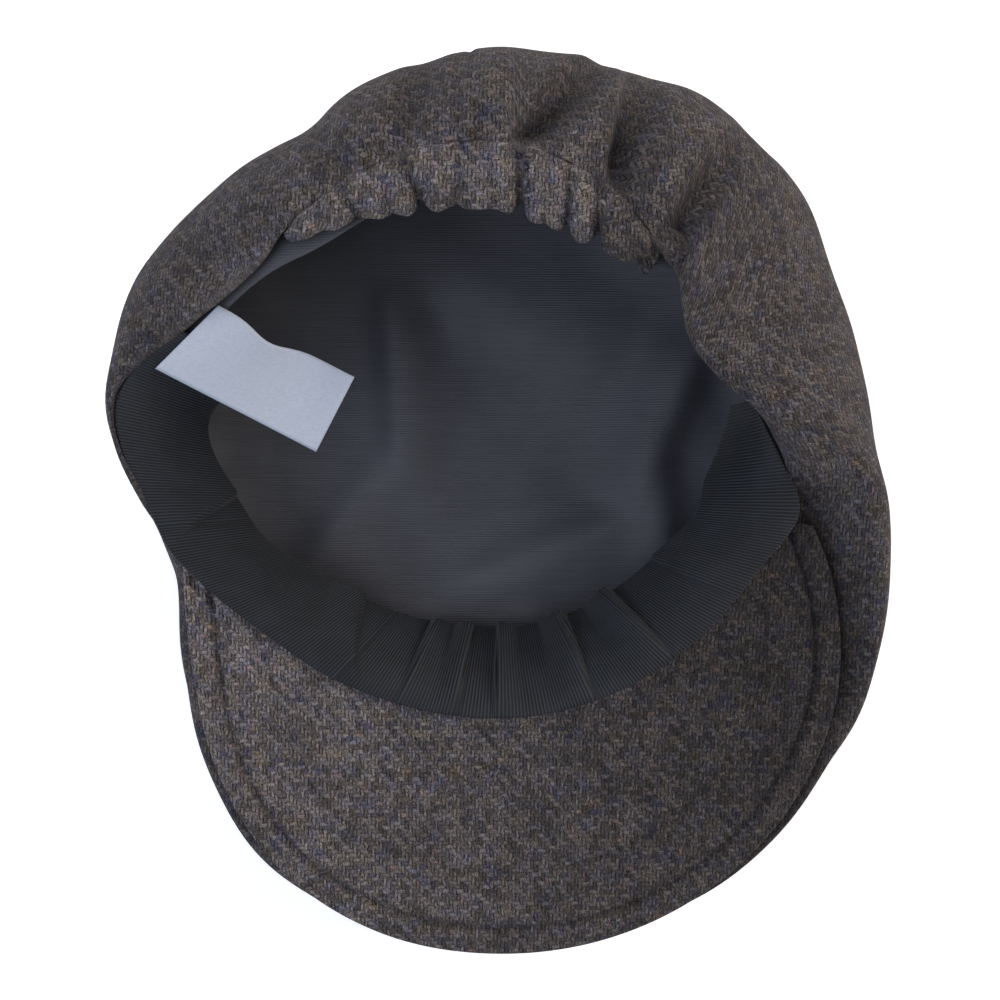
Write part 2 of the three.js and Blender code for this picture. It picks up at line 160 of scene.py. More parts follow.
# bearing, seam out, seam up, pull out, pull up, puff, side reach, side height, foot reach, fullness
CROWN = [
    (0, 0, 0, 5, -1, 0, 129.5, 18, 76, 0.35), (15, 0, 0, 5, -1, 0, 129, 19, 76, 0.38),
    (30, 0, 0, 6, -1, 0, 126.5, 21, 75, 0.45), (45, 0, 0, 8, -1, 0, 121.5, 26, 74, 0.55),
    (60, 0, 0, 10, -1, 9, 117.5, 33, 73, 0.68), (75, 0, 0, 9, -1, 22, 110.5, 41, 71, 0.8),
    (90, 0, 0, 12, -2, 30, 104.5, 46, 70, 0.85), (105, 0, 0, -8, 22, 0, 103, 50, 70, 0.85),
    (120, 0, 0, -25, 24, 0, 107, 52, 70, 0.85), (135, 1, 1, -24, 20, 0, 116.5, 53, 71, 0.85),
    (150, 8, 4, 10, 9, 0, 121, 53, 72, 0.85), (165, 14.5, 6, 13, 5, 0, 120.5, 51, 73, 0.85),
    (180, 15, 6.5, 13, 4, 0, 121.5, 50, 74, 0.85), (195, 13.5, 5.5, 12, 4, 0, 118.5, 49, 73, 0.85),
    (210, 7.5, 3.5, 12, 4, 0, 113.5, 48, 72, 0.85), (225, 0, 0, 14, 3, 0, 115.5, 46, 71, 0.85),
    (240, 0, 0, 11, 1, 0, 115.5, 44, 70, 0.85), (255, 0, 0, 4, -2, 0, 109.5, 38, 69, 0.85),
    (270, 0, 0, 2, -6, 0, 98.5, 30, 66, 0.8), (285, 0, 0, 8, -3, 0, 95.5, 27, 66, 0.7),
    (300, 0, 0, 9, -2, 0, 104, 25, 68, 0.58), (315, 0, 0, 8, -2, 0, 114.5, 23, 71, 0.5),
    (330, 0, 0, 7, -1, 0, 125, 20, 74, 0.42), (345, 0, 0, 6, -1, 0, 129.5, 18, 76, 0.37),
]
# Folds: bearing at the seam, bearing at the side, half width to the left, to the right, depth
CROWN_FOLDS = [
    (147.5, 144.5, 4.5, 6, 9.5), (160.5, 163, 2.2, 7.5, 10.5), (177.6, 166, 2.2, 8.5, 11.0),
    (195.8, 189, 3.5, 6, 4.0), (206, 208, 5, 5, 2.4), (231, 232, 7, 8, 2.8),
    (187, 184.5, 2, 2.2, 1.0),
]
# Swellings of the crown between the folds: bearing at the seam, at the side, half width, height
CROWN_SWELLS = [
    (186, 178, 6, 2.2), (170.5, 166, 6, 2.4), (154, 154, 5, 2.6), (202, 200, 6, 1.4), (217, 219, 8, 1.6),
]
# Gathers of the casing, which run a little way into the crown: bearing at the rim, at the seam,
# half width, depth
GATHERS = [
    (150, 147, 5.0, 3.0), (159.5, 163, 3.6, 3.4), (166.2, 168.5, 2.8, 2.6), (171, 172, 2.4, 0.8),
    (176, 177.2, 2.8, 3.6), (182, 181.5, 3.0, 0.7), (188.2, 186, 4.2, 1.7), (195, 196, 3.2, 3.0),
    (200.5, 200.5, 2.6, 1.0), (207, 206.5, 4.0, 2.0), (213, 212, 3.5, 0.8),
]
# Slack of the cloth: waves round the cap, waves down it, phase, height
SLACK = [(5, 1.0, 0.4, 0.55), (9, 1.7, 2.1, 0.4), (14, 2.6, 4.0, 0.3), (23, 3.1, 1.2, 0.18)]
# Painted light and shade in the tweed's colour: painted shade deep in the folds, painted light along the back
# of the rim, and painted shade in the crevice beside the right of the peak
FOLD_SHADE_FULL_DEPTH = 9
FOLD_PAINTED_SHADE = 0.5
RIM_PAINTED_LIGHT, RIM_LIGHT_RUN = 0.6, 0.18
RIM_LIGHT_FROM, RIM_LIGHT_RISES, RIM_LIGHT_TO, RIM_LIGHT_FADES = 160, 8, 250, 20
CREVICE_PAINTED_SHADE, CREVICE_WIDTH, CREVICE_RISES = 0.7, 6.5, 30


def bezier(a, b, c, d, t):
    s = 1 - t
    return s**3 * a + 3 * s * s * t * b + 3 * s * t * t * c + t**3 * d


def dent(away, sharpness):
    """Valley from 1 at its middle to 0 at a distance of 1; a sharper one has a narrower floor."""
    return np.clip(0.5 + 0.5 * np.cos(np.pi * np.clip(np.abs(away), 0, 1)), 0, 1) ** sharpness


def crease(away):
    """Valley from 1 at its middle to 0 at a distance of 1, with a sharp floor."""
    return np.clip(1 - np.abs(away), 0, 1) ** 2


def normals(grid, ring):
    """Unit normals of a grid of points, on the side of rows x columns."""
    down = np.gradient(grid, axis=0)
    if ring:
        along = np.roll(grid, -1, axis=1) - np.roll(grid, 1, axis=1)
    else:
        along = np.gradient(grid, axis=1)
    normal = np.cross(down, along)
    size = np.linalg.norm(normal, axis=-1, keepdims=True)
    return normal / np.maximum(size, 1e-9)


def seam_point(bearing):
    """Reach and height of the crown's sewn edge: under the peak's edge, or at the opening or casing."""
    seam_out, seam_up = read(CROWN, bearing)[:2]
    reach, height = opening(bearing)
    width = np.maximum(peak_point(bearing, 1.0)[0] - reach, PEAK_TUCK)
    under_reach, under_height = peak_point(bearing, 1 - PEAK_TUCK / width)
    front = in_front(bearing, SEAM_MARGIN)
    behind_reach, behind_height = reach + seam_out, height + seam_up
    under_height = under_height - PEAK_UNDERSIDE - CLEARANCE
    return (
        behind_reach + (under_reach - behind_reach) * front,
        behind_height + (under_height - behind_height) * front,
    )


def half_round(first, second, out, steps):
    """Rows that turn from one row to another round an edge that faces out."""
    middle, half = (first + second) / 2, (first - second) / 2
    size = np.linalg.norm(half, axis=-1, keepdims=True)
    turns = np.linspace(0, np.pi, steps + 2)[1:-1]
    return np.array([middle + np.cos(turn) * half + np.sin(turn) * size * out for turn in turns])


def unit(v):
    return v / np.maximum(np.linalg.norm(v, axis=-1, keepdims=True), 1e-9)


EDGE_STEPS = 5


def cloth(name, face, back, material, ring=False, pole=False, guide=0, cut="strip", painted_shading=1.0):
    """Closed piece of cloth between two grids, with rounded edges and its weave laid out in millimetres."""
    near = half_round(back[0], face[0], unit(face[0] - face[1]), EDGE_STEPS)
    far = np.empty((0, *face[0].shape))
    if not pole:
        far = half_round(face[-1], back[-1], unit(face[-1] - face[-2]), EDGE_STEPS)
    rows = np.concatenate([face, far, back[::-1], near])
    count, columns = rows.shape[:2]
    around = np.concatenate([rows, rows[:1]])
    if ring:
        around = np.concatenate([around, around[:, :1]], axis=1)
    down = np.linalg.norm(np.diff(around, axis=0), axis=-1)
    v = np.concatenate([np.zeros((1, down.shape[1])), np.cumsum(down, axis=0)])
    along = np.linalg.norm(np.diff(around[guide], axis=0), axis=-1)
    u = np.broadcast_to(np.concatenate([[0], np.cumsum(along)]), v.shape)
    if cut == "flat":
        u, v = around[..., 0], around[..., 1]
    if cut == "opened_out":
        start = around[0] - AXIS
        distance = np.hypot(start[:, 0], start[:, 1])
        grown = 1 + v / distance
        u, v = start[:, 0] * grown, start[:, 1] * grown
    j, i = np.meshgrid(np.arange(count), np.arange(around.shape[1] - 1), indexing="ij")
    if pole:
        keep = j != len(face) - 1
        j, i = j[keep], i[keep]
    j, i = j.ravel(), i.ravel()
    corners = [(j, i), (j + 1, i), (j + 1, i + 1), (j, i + 1)]
    quads = np.stack([(a % count) * columns + b % columns for a, b in corners], axis=-1)
    places = np.stack([np.stack([u[a, b], v[a, b]], axis=-1) for a, b in corners], axis=1)
    faces = quads.tolist()
    coords = places.tolist()
    if not ring:
        last = len(face) + len(far)
        for end in (0, columns - 1):
            for r in range(len(face) - 1):
                loop = [r, r + 1, count - len(near) - 2 - r, count - len(near) - 1 - r]
                faces.append([a * columns + end for a in loop])
                coords.append([[u[a, end], v[a, end]] for a in loop])
            for loop in (list(range(len(face) - 1, last + 1)), [*range(last + len(back) - 1, count), 0]):
                faces.append([a * columns + end for a in loop])
                coords.append([[u[a, end], v[a, end]] for a in loop])
    mesh = bpy.data.meshes.new(name)
    mesh.from_pydata((rows.reshape(-1, 3) * MM).tolist(), [], faces)
    layer = mesh.uv_layers.new(name="weave")
    layer.data.foreach_set("uv", np.array([c for corner in coords for c in corner], np.float32).ravel())
    # Painted light and shade for each point, which the tweed multiplies into its colour
    painted_rows = np.broadcast_to(painted_shading, face.shape[:2])
    painted_rows = np.concatenate([painted_rows, painted_rows[[-1] * len(far)], painted_rows[::-1], painted_rows[[0] * len(near)]])
    painted_layer = mesh.attributes.new("painted_shading", "FLOAT", "POINT")
    painted_layer.data.foreach_set("value", painted_rows.astype(np.float32).ravel())
    shape = bmesh.new()
    shape.from_mesh(mesh)
    bmesh.ops.remove_doubles(shape, verts=shape.verts, dist=1e-6)
    bmesh.ops.recalc_face_normals(shape, faces=shape.faces)
    shape.to_mesh(mesh)
    shape.free()
    mesh.polygons.foreach_set("use_smooth", [True] * len(mesh.polygons))
    piece = bpy.data.objects.new(name, mesh)
    bpy.context.scene.collection.objects.link(piece)
    mesh.materials.append(material)
    return piece


def linear(colour):
    """Linear light of an sRGB hex colour."""
    parts = [int(colour[k : k + 2], 16) / 255 for k in (1, 3, 5)]
    return [p / 12.92 if p <= 0.04045 else ((p + 0.055) / 1.055) ** 2.4 for p in parts] + [1.0]


def add(tree, kind, inputs=(), stops=(), **settings):
    """New shader node with its settings and links, and for a ramp its stops: places and sRGB colours.

    An input is a value, a node's first output or a socket.
    """
    new = tree.nodes.new("ShaderNode" + kind)
    for key, value in settings.items():
        setattr(new, key, value)
    for k, (spot, colour) in enumerate(stops):
        element = new.color_ramp.elements[k] if k < 2 else new.color_ramp.elements.new(spot)
        element.position = spot
        element.color = linear(colour)
    for key, value in inputs.items() if isinstance(inputs, dict) else enumerate(inputs):
        if isinstance(value, bpy.types.Node):
            value = value.outputs[0]
        if isinstance(value, bpy.types.NodeSocket):
            tree.links.new(value, new.inputs[key])
        else:
            new.inputs[key].default_value = value
    return new


# Wool tweed: a 2/2 twill of woolly yarns, so brushed that only short slits show between them, darkened with
# painted shade, as are the gaps between the yarns. Loose fibres blur the weave, and the mauve grey is
# heathered with slate, olive and wine. The yarns lie a little over a millimetre apart.
YARN_ACROSS, YARN_ALONG = 1.05, 1.15
tweed = bpy.data.materials.new("wool_tweed")
tweed.use_nodes = True
tree = tweed.node_tree
tree.nodes.clear()
weave = add(tree, "UVMap", uv_map="weave")
drift = add(tree, "TexNoise", {"Vector": weave, "Scale": 0.6, "Detail": 4.0, "Roughness": 0.75})
drift = add(tree, "VectorMath", [drift.outputs["Color"], (0.5, 0.5, 0.5)], operation="SUBTRACT")
drift = add(tree, "VectorMath", {0: drift, "Scale": 1.7}, operation="SCALE")
bent = add(tree, "VectorMath", [weave, drift], operation="ADD")
bent = add(tree, "VectorMath", [bent, (1 / YARN_ACROSS, 1 / YARN_ALONG, 1.0)], operation="MULTIPLY")
thread = add(tree, "SeparateXYZ", [bent])
cell_u = add(tree, "Math", [thread.outputs[0]], operation="FLOOR")
cell_v = add(tree, "Math", [thread.outputs[1]], operation="FLOOR")
part_u = add(tree, "Math", [thread.outputs[0]], operation="FRACT")
part_v = add(tree, "Math", [thread.outputs[1]], operation="FRACT")
step = add(tree, "Math", [cell_u, cell_v], operation="ADD")
step = add(tree, "Math", [step, 4.0], operation="FLOORED_MODULO")
upright = add(tree, "Math", [step, 1.5], operation="LESS_THAN")
past = add(tree, "Math", [step, 2.0], operation="SUBTRACT")
run_level = add(tree, "Math", [past, part_u], operation="ADD")
run_upright = add(tree, "Math", [step, part_v], operation="ADD")
run = add(tree, "Mix", {0: upright, 2: run_level, 3: run_upright}, data_type="FLOAT")
side = add(tree, "Mix", {0: upright, 2: part_v, 3: part_u}, data_type="FLOAT")
arch = add(tree, "Math", [run, 1.0], operation="SUBTRACT")
arch = add(tree, "Math", [arch, arch], operation="MULTIPLY")
arch = add(tree, "Math", [1.0, arch], operation="SUBTRACT")
round_yarn = add(tree, "Math", {0: side, 1: 2.0, 2: -1.0}, operation="MULTIPLY_ADD")
round_yarn = add(tree, "Math", [round_yarn, round_yarn], operation="MULTIPLY")
round_yarn = add(tree, "Math", [1.0, round_yarn], operation="SUBTRACT")
yarn_height = add(tree, "Math", [arch, round_yarn], operation="MULTIPLY")
yarn_height = add(tree, "Math", [yarn_height, 0.6], operation="POWER")
level_start = add(tree, "Math", [cell_u, past], operation="SUBTRACT")
upright_start = add(tree, "Math", [cell_v, step], operation="SUBTRACT")
float_line = add(tree, "Mix", {0: upright, 2: cell_v, 3: cell_u}, data_type="FLOAT")
float_start = add(tree, "Mix", {0: upright, 2: level_start, 3: upright_start}, data_type="FLOAT")
float_name = add(tree, "CombineXYZ", [float_line, float_start, upright])
float_shade = add(tree, "TexWhiteNoise", [float_name], noise_dimensions="3D")
lengthways = add(tree, "VectorMath", [weave, (3.8, 1.0, 1.0)], operation="MULTIPLY")
lengthways = add(tree, "TexNoise", {"Vector": lengthways, "Scale": 1.0, "Detail": 3.0, "Roughness": 0.7})
crossways = add(tree, "VectorMath", [weave, (1.0, 3.8, 1.0)], operation="MULTIPLY")
crossways = add(tree, "TexNoise", {"Vector": crossways, "Scale": 1.0, "Detail": 3.0, "Roughness": 0.7})
fibres = add(tree, "Mix", {0: 0.4, 2: lengthways.outputs[0], 3: crossways.outputs[0]}, data_type="FLOAT")
cloud = add(tree, "TexNoise", {"Vector": weave, "Scale": 0.06, "Detail": 3.0, "Roughness": 0.6})
hue = add(tree, "TexNoise", {"Vector": weave, "Scale": 0.2, "Detail": 3.0, "Roughness": 0.7})
heather = add(
    tree, "ValToRGB", [hue.outputs[0]],
    stops=[
        (0.30, "#5c5e6d"), (0.74, "#725852"), (0.41, "#676369"), (0.50, "#6b6563"), (0.58, "#6c6562"),
        (0.66, "#6d6658"),
    ],
)
fleck_name = add(tree, "VectorMath", [float_name, (17.0, 5.0, 3.0)], operation="ADD")
fleck = add(tree, "TexWhiteNoise", [fleck_name], noise_dimensions="3D")
is_fleck = add(tree, "Math", [fleck.outputs["Value"], 0.93], operation="GREATER_THAN")
is_fleck = add(tree, "Math", [is_fleck, 0.45], operation="MULTIPLY")
fleck_colour = add(
    tree, "ValToRGB", [float_shade.outputs["Value"]],
    stops=[(0.0, "#4a4f70"), (1.0, "#7d6250"), (0.35, "#555976"), (0.55, "#6f6c54"), (0.8, "#6d545c")],
)
dyed = add(tree, "Mix", {0: is_fleck, 6: heather.outputs[0], 7: fleck_colour.outputs[0]}, data_type="RGBA")
# Painted shade: darker down the sides of each yarn and lighter on its top
level = add(tree, "Math", {0: yarn_height, 1: 0.3, 2: 0.34}, operation="MULTIPLY_ADD")
# Painted shade in the slits between the upright yarns
slit_shade = add(tree, "Math", [round_yarn, 0.6], operation="LESS_THAN")
slit_shade = add(tree, "Math", [slit_shade, upright], operation="MULTIPLY")
slit_shade = add(tree, "Math", [slit_shade, arch], operation="MULTIPLY")
slit_shade = add(tree, "Math", {0: slit_shade, 1: -0.8, 2: 1.0}, operation="MULTIPLY_ADD")
level = add(tree, "Math", [level, slit_shade], operation="MULTIPLY")
level_fibre = add(tree, "Math", {0: fibres, 1: 8.4, 2: -3.1}, operation="MULTIPLY_ADD")
level_fibre = add(tree, "Math", [level_fibre, 0.25], operation="MAXIMUM")
level_float = add(tree, "Math", {0: float_shade.outputs["Value"], 1: 0.9, 2: 0.6}, operation="MULTIPLY_ADD")
level_cloud = add(tree, "Math", {0: cloud.outputs[0], 1: 0.9, 2: 0.55}, operation="MULTIPLY_ADD")
level = add(tree, "Math", [level, level_fibre], operation="MULTIPLY")
level = add(tree, "Math", [level, level_float], operation="MULTIPLY")
level = add(tree, "Math", [level, level_cloud], operation="MULTIPLY")
# Painted light and shade of each piece, read from a per-point attribute
painted_shading = add(tree, "Attribute", attribute_name="painted_shading", attribute_type="GEOMETRY")
level = add(tree, "Math", [level, painted_shading.outputs["Fac"]], operation="MULTIPLY")
shaded = add(tree, "VectorMath", {0: dyed.outputs[2], "Scale": level.outputs[0]}, operation="SCALE")
relief = add(tree, "Math", {0: fibres, 1: 1.6, 2: yarn_height}, operation="MULTIPLY_ADD")
bump = add(tree, "Bump", {"Height": relief, "Distance": 0.0004, "Strength": 0.9})
surface = add(
    tree, "BsdfPrincipled",
    {
        "Base Color": shaded, "Roughness": 0.95, "Specular IOR Level": 0.1, "Normal": bump,
        "Sheen Weight": 0.12, "Sheen Roughness": 0.5, "Sheen Tint": linear("#c9c4cc"),
    },
)
add(tree, "OutputMaterial", [surface])

bearings = np.linspace(BACK_SEAM - 360, BACK_SEAM, FINE_COLUMNS)
from_gathers = np.abs(signed(bearings - CROWDED_AT)) - CROWDED_HALF
crowding = 1 + CROWDED * (1 - rise(from_gathers / CROWDED_FADES))
spread = np.concatenate([[0], np.cumsum((crowding[1:] + crowding[:-1]) / 2)])
bearings = np.interp(np.arange(CROWN_COLUMNS) / CROWN_COLUMNS * spread[-1], spread, bearings)
_, _, pull_out, pull_up, puff, side_reach, side_height, foot_reach, fullness = read(CROWN, bearings)
edge_reach, edge_height = seam_point(bearings)
t = np.linspace(0, 1, OVER_STEPS + 1)[:, None] ** 1.25
roll = side_height + np.maximum(ROLL_DEPTH * (edge_height + pull_up - side_height), LEAST_ROLL) + puff
over_reach = bezier(edge_reach, edge_reach + pull_out, side_reach, side_reach, t)
over_height = bezier(edge_height, edge_height + pull_up, roll, side_height, t)
t = np.linspace(0, 1, UNDER_STEPS + 1)[1:, None]
under_reach = bezier(
    side_reach, side_reach, foot_reach + UNDER_RUN * fullness * (side_reach - foot_reach), foot_reach, t
)
under_height = bezier(side_height, side_height * (1 - fullness), 0, 0, t)
rest = np.array(FOOT_ROWS)[:, None]
reach = np.concatenate([over_reach, under_reach, foot_reach * rest])
height = np.concatenate([over_height, under_height, 0 * foot_reach * rest])
outside = place(bearings, reach, height)
over, under, foot = OVER_STEPS + 1, UNDER_STEPS, len(FOOT_ROWS)
out = np.concatenate([np.linspace(0, 1, over), np.ones(under + foot)])[:, None]
down = np.concatenate([np.zeros(over), np.linspace(0, 1, under + 1)[1:], np.ones(foot)])[:, None]
turn = bearings % 360
sink = np.zeros(reach.shape)
# Painted shade deep in each fold, darkening the tweed's colour
fold_painted_shade = np.zeros(reach.shape)
for at_seam, at_side, left_width, right_width, depth in CROWN_FOLDS:
    away = turn - (at_seam + (at_side - at_seam) * out)
    fold = dent(away / np.where(away > 0, left_width, right_width), FOLD_SHARPNESS)
    sink += depth * np.sin(np.pi * out**0.6) * fold
    fold_painted_shade = np.maximum(fold_painted_shade, min(depth / FOLD_SHADE_FULL_DEPTH, 1) * np.sin(np.pi * out**0.6) * fold)
for at_seam, at_side, half_width, size in CROWN_SWELLS:
    middle = at_seam + (at_side - at_seam) * out
    sink -= size * np.sin(np.pi * out**0.5) * dent((turn - middle) / half_width, 1)
for at_rim, at_seam, half_width, depth in GATHERS:
    fades = np.exp(-out / GATHER_RUN)
    sink += GATHER_SINK * depth * fades * crease((turn - at_seam) / half_width / (1 + out))
for waves, runs, phase, size in SLACK:
    wave = np.sin(waves * np.radians(turn) + phase + 2 * runs * (out + down))
    sink += size * wave * np.sin(np.pi * np.clip((out + down) / 2, 0, 1)) ** 0.5
seam = np.exp(-((signed(turn - BACK_SEAM) / SEAM_HALF_WIDTH) ** 2))
sink += SEAM_DEPTH * seam * (1 - SEAM_FADES * out) * (1 - down)
sink -= RIM_SWELL * np.exp(-((out / RIM_ROLL) ** 2))
sink *= 1 - rise((down - FLAT_FROM) / FLAT_OVER)
outside = outside - normals(outside, True) * sink[..., None]
outside[..., 2] = np.maximum(outside[..., 2], 0)
inside = outside - normals(outside, True) * TWEED
inside[-1] = outside[-1] + [0, 0, TWEED]
# Painted light along the back of the rim, lightening the tweed's colour
rim_light_and_ribbon_wear = rise((turn - RIM_LIGHT_FROM) / RIM_LIGHT_RISES) * rise((RIM_LIGHT_TO - turn) / RIM_LIGHT_FADES)
rim_light_and_ribbon_wear = rim_light_and_ribbon_wear * np.exp(-out / RIM_LIGHT_RUN)
past_edge = reach - read(PEAK_EDGE, signed(turn))[0]
# Painted shade in the crevice beside the right of the peak
crevice = in_front(turn, 0) * rise(signed(turn) / CREVICE_RISES) * np.exp(-((past_edge / CREVICE_WIDTH) ** 2))
# The crown's painted light and shade, multiplied together
light_and_shade = (1 + RIM_PAINTED_LIGHT * rim_light_and_ribbon_wear) * (1 - FOLD_PAINTED_SHADE * fold_painted_shade) * (1 - CREVICE_PAINTED_SHADE * crevice)
crown = cloth(
    "crown_cloth", outside, inside, tweed, ring=True, pole=True, cut="opened_out", painted_shading=light_and_shade
)
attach(crown, "root")
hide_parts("crown")

# Back casing
# The elastic runs in this doubled band of the same tweed, sewn to the crown along its outer edge.
# The elastic has drawn it up into puffy ridges with sharp valleys between them.

CASING_FROM, CASING_TO = 147, 219
CASING_COLUMNS = 420
CASING_ROWS = 26
CASING_THICKNESS = 4.0
CASING_GAP = 0.4
PUFF = 2.2
RIPPLE = 0.3
END_TAPER = 4
TUCKED_DEPTH, TUCKED_RUN = 3, 7
RIM_BACK, DRAWN_BACK = 0.6, 0.28
RIM_LIFT, LIFT_LOSS = 1.2, 0.2
DRAWN_BELOW = 0.5
# Painted light past its first gathers, making it lighter than the crown, and painted shade in each crease
CASING_PAINTED_LIGHT, CASING_LIGHT_FROM, CASING_LIGHT_RISES = 1.95, 157, 6
CREASE_SHADE_FULL_DEPTH, CREASE_PAINTED_SHADE_MAX = 4.5, 0.6

bearings = np.linspace(CASING_FROM, CASING_TO, CASING_COLUMNS)
share = np.linspace(0, 1, CASING_ROWS)[:, None]
rim_reach, rim_height = opening(bearings)
seam_reach, seam_height = seam_point(bearings)
drawn = np.zeros((CASING_ROWS, CASING_COLUMNS))
for at_rim, at_seam, half_width, depth in GATHERS:
    drawn += depth * crease((bearings - at_rim - (at_seam - at_rim) * share) / half_width)
drawn += RIPPLE * np.sin(0.9 * bearings + 3 * share) * np.sin(0.37 * bearings + 1)
ends = rise((bearings - CASING_FROM) / END_TAPER) * rise((CASING_TO - bearings) / END_TAPER)
drawn *= (1 - 0.5 * share**2) * ends
swell = PUFF * np.sin(np.pi * np.clip(share, 0, 1) ** 0.75) * ends
tucked = TUCKED_DEPTH * (1 - rise((bearings - CASING_FROM) / TUCKED_RUN))
reach = rim_reach + (seam_reach - CASING_GAP - rim_reach) * share
reach = reach + (DRAWN_BACK * drawn - RIM_BACK) * (1 - share) * ends
height = rim_height + (seam_height - TWEED / 2 - rim_height) * share
height = height + swell + ends * (RIM_LIFT - LIFT_LOSS * share) - tucked
middle = place(bearings, reach, height)
section = 0.75 + 0.25 * np.sin(np.pi * share**0.7) - 0.35 * share**6
thick = CASING_THICKNESS / 2 * section * (0.6 + 0.4 * ends)
upward = normals(middle, False)
upward *= np.sign(upward[..., 2:])
top = middle + upward * (thick - drawn)[..., None]
bottom = middle - upward * (thick + DRAWN_BELOW * drawn)[..., None]
# Painted light past the first gathers, and painted shade in each crease
light_and_shade = 1 + (CASING_PAINTED_LIGHT - 1) * rise((bearings - CASING_LIGHT_FROM) / CASING_LIGHT_RISES)
light_and_shade = light_and_shade * (1 - np.clip(drawn / CREASE_SHADE_FULL_DEPTH, 0, CREASE_PAINTED_SHADE_MAX))
casing = cloth("casing_cloth", top, bottom, tweed, cut="opened_out", painted_shading=light_and_shade)
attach(casing, "root")
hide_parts("back_casing")

# Peak
# A crescent of stiff board between two layers of tweed, sewn round 6.6 mm from its rolled edge. A second
# row of stitching shows faintly 22.5 mm in, and the cloth lies flat with its grain fore and aft.

PEAK_COLUMNS = 300
PEAK_ROWS = 84
PEAK_FULLNESS = 0.84
BEAD, BEAD_AT, BEAD_WIDTH = 0.18, 3.0, 2.4
EDGE_ROLL = 4.5
EDGE_STITCH, GROOVE_DEPTH, GROOVE_WIDTH = 6.6, 1.2, 1.0
INNER_STITCH, DASH_DEPTH, DASH_WIDTH = 22.5, 0.5, 0.7
STITCHED_FROM, STITCHED_RISES = 28, 10
STITCH = 3.4
PEAK_SLACK = 0.25
# Painted light and shade: lighter on the left than on the right, and painted shade along the stitched grooves
PEAK_PAINTED_LIGHT, PAINTED_LIGHT_TURN = 1.2, -0.75
STITCH_PAINTED_SHADE = 0.4

bearings = np.linspace(PEAK_FROM, PEAK_TO, PEAK_COLUMNS)
share = 1 - (1 - np.linspace(0, 1, PEAK_ROWS)[:, None]) ** 1.5
reach, height = peak_point(bearings, share)
width = read(PEAK_EDGE, bearings)[0] - opening(bearings)[0]
from_edge = (1 - share) * width
middle = place(bearings, reach, height)
bead = BEAD * np.exp(-((from_edge - BEAD_AT) / BEAD_WIDTH) ** 2)
thick = PEAK_THICKNESS / 2 * (PEAK_FULLNESS + bead)
thick = thick * (0.5 + 0.5 * rise(from_edge / EDGE_ROLL)) * np.ones(reach.shape)
dashes = 0.6 + 0.4 * np.sin(2 * np.pi * np.radians(bearings) * reach / STITCH)
groove = np.exp(-((from_edge - EDGE_STITCH) / GROOVE_WIDTH) ** 2)
thick -= GROOVE_DEPTH * groove
dashed = dashes * np.exp(-((from_edge - INNER_STITCH) / DASH_WIDTH) ** 2)
dashed = dashed * rise((width - STITCHED_FROM) / STITCHED_RISES)
thick -= DASH_DEPTH * dashed
upward = normals(middle, False)
upward *= np.sign(upward[..., 2:])
slack = PEAK_SLACK * np.sin(middle[..., 0] / 9 + 1.3) * np.sin(middle[..., 1] / 7) * rise(from_edge / 12)
# Painted light on the left of the peak and painted shade on its right
light_and_shade = PEAK_PAINTED_LIGHT + PAINTED_LIGHT_TURN * np.sin(np.radians(bearings))
# Painted shade along the two stitched grooves
light_and_shade = light_and_shade * (1 - STITCH_PAINTED_SHADE * groove) * (1 - STITCH_PAINTED_SHADE * dashed)
peak = cloth(
    "peak_cloth", middle + upward * (thick + slack)[..., None], middle - upward * thick[..., None],
    tweed, cut="flat", painted_shading=light_and_shade,
)
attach(peak, "root")
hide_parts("peak")

# Sweatband
# A black grosgrain ribbon, 28 mm wide, sewn over the root of the peak and on round the sides. Its free
# edge is longer than the opening below it, so it stands in tucks that have been pressed to one side.

SWEATBAND_FROM, SWEATBAND_TO = -118, 112
SWEATBAND_COLUMNS = 560
SWEATBAND_ROWS = 26
RIBBON = 0.8
RIBBON_BOW = 1.6
SWEATBAND_OVERLAP = 2.5
SIDE_INSET = 1.5
SIDE_DROP = 0.5
TUCK_STEP, TUCK_LEAN = 1.6, 0.5
# bearing, inset of the free edge, drop of the free edge
SWEATBAND = [
    (-120, 21, 16), (-105, 22, 15), (-90, 23, 14), (-75, 24, 14), (-60, 24, 14), (-45, 24, 14),
    (-30, 24, 14), (-15, 24, 14), (0, 24, 14), (15, 24, 14), (30, 24, 14), (45, 24, 14),
    (60, 24, 14), (75, 24, 14), (90, 24, 14), (105, 9, 24), (120, -5, 26),
]
# Tucks: bearing at the free edge, bearing at the sewn edge, width of the slope, lift, side of the step
TUCKS = [
    (-92, -83, 14, 3.6, 1), (-55, -38, 10, 3.2, 1), (-28, -26, 9, 2.6, -1), (-13.5, -12, 7, 3.6, 1),
    (0, -1, 8, 3.4, -1), (28.5, 24, 11, 5.0, 1), (49.4, 47, 12, 5.4, 1), (70, 68, 12, 1.4, -1),
]

# Black grosgrain: close cross ribs 0.9 mm apart, painted lighter on the ribs and darker in the hollows as
# painted light and shade, with a soft gloss.
RIB = 0.9
grosgrain = bpy.data.materials.new("black_grosgrain")
grosgrain.use_nodes = True
tree = grosgrain.node_tree
tree.nodes.clear()
weave = add(tree, "UVMap", uv_map="weave")
spot = add(tree, "SeparateXYZ", [weave])
wave = add(tree, "Math", [spot.outputs[0], 2 * math.pi / RIB], operation="MULTIPLY")
wave = add(tree, "Math", [wave], operation="SINE")
rib = add(tree, "Math", {0: wave, 1: 0.5, 2: 0.5}, operation="MULTIPLY_ADD")
rim_light_and_ribbon_wear = add(tree, "TexNoise", {"Vector": weave, "Scale": 0.12, "Detail": 3.0})
